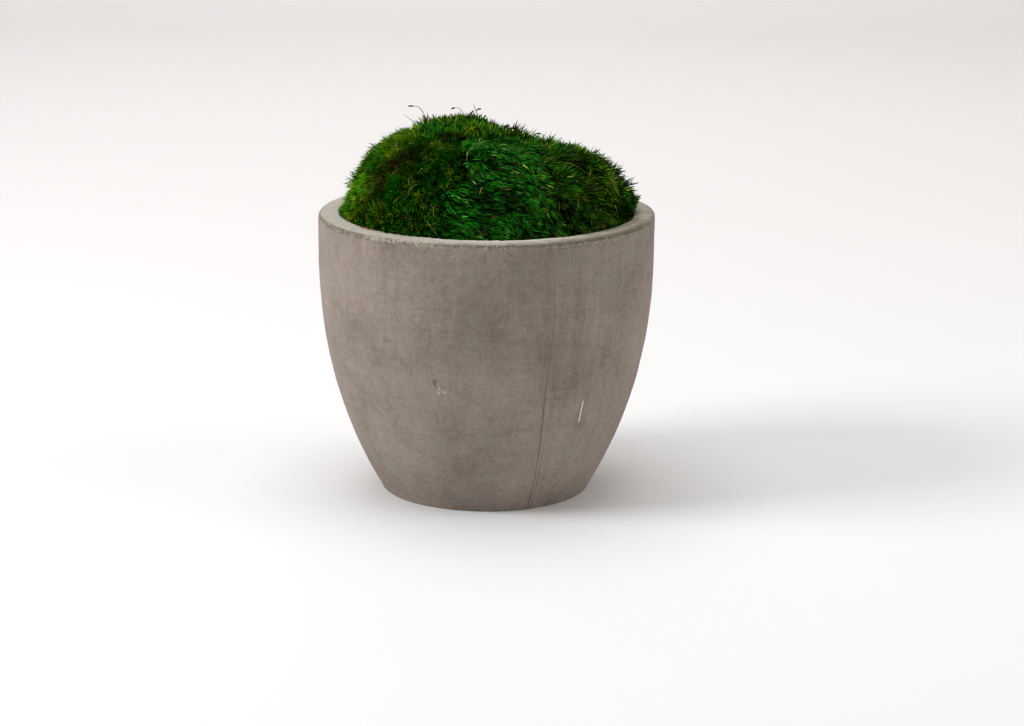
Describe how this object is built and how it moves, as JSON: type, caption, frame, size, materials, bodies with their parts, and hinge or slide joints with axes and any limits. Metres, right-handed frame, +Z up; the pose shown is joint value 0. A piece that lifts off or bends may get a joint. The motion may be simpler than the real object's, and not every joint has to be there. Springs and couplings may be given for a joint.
{
  "type": "concrete bowl planter",
  "caption": "Cast concrete bowl planter, round with a swelling belly and an upright rim, planted with a mound of cushion moss on a removable foam core.",
  "frame": {"origin": "middle of the bowl's foot, on the ground", "axes": "+Z up along the bowl's axis, -Y towards the front, +X to the right seen from the front"},
  "size_m": [0.305, 0.305, 0.3407],
  "materials": {
    "concrete": "smooth cast concrete, matt, with faint clouding and air holes",
    "rubber": "matt moulded rubber",
    "foam": "dry bead foam, cut with a knife",
    "moss": "preserved cushion moss, fine swept leaves",
    "pin_wire": "dull drawn steel wire"
  },
  "bodies": {
    "bowl": {"bowl": "concrete"},
    "drain_plug": {"drain_plug": "rubber"},
    "planting": {"foam_disc_1": "foam", "foam_disc_2": "foam", "foam_disc_3": "foam", "foam_disc_4": "foam", "foam_dome": "foam", "moss_crown": "moss", "moss_left": "moss", "moss_front_left": "moss", "moss_front": "moss", "moss_front_right": "moss", "moss_right": "moss", "moss_back_right": "moss", "moss_back_left": "moss", "greening_pins": "pin_wire"}
  },
  "joints": [
    {"name": "planting_lift", "type": "slide", "parent": "bowl", "child": "planting", "axis": [0, 0, 1], "range_m": [0, 0.26]},
    {"name": "plug_pull", "type": "slide", "parent": "bowl", "child": "drain_plug", "axis": [0, 0, -1], "range_m": [0, 0.03]}
  ]
}
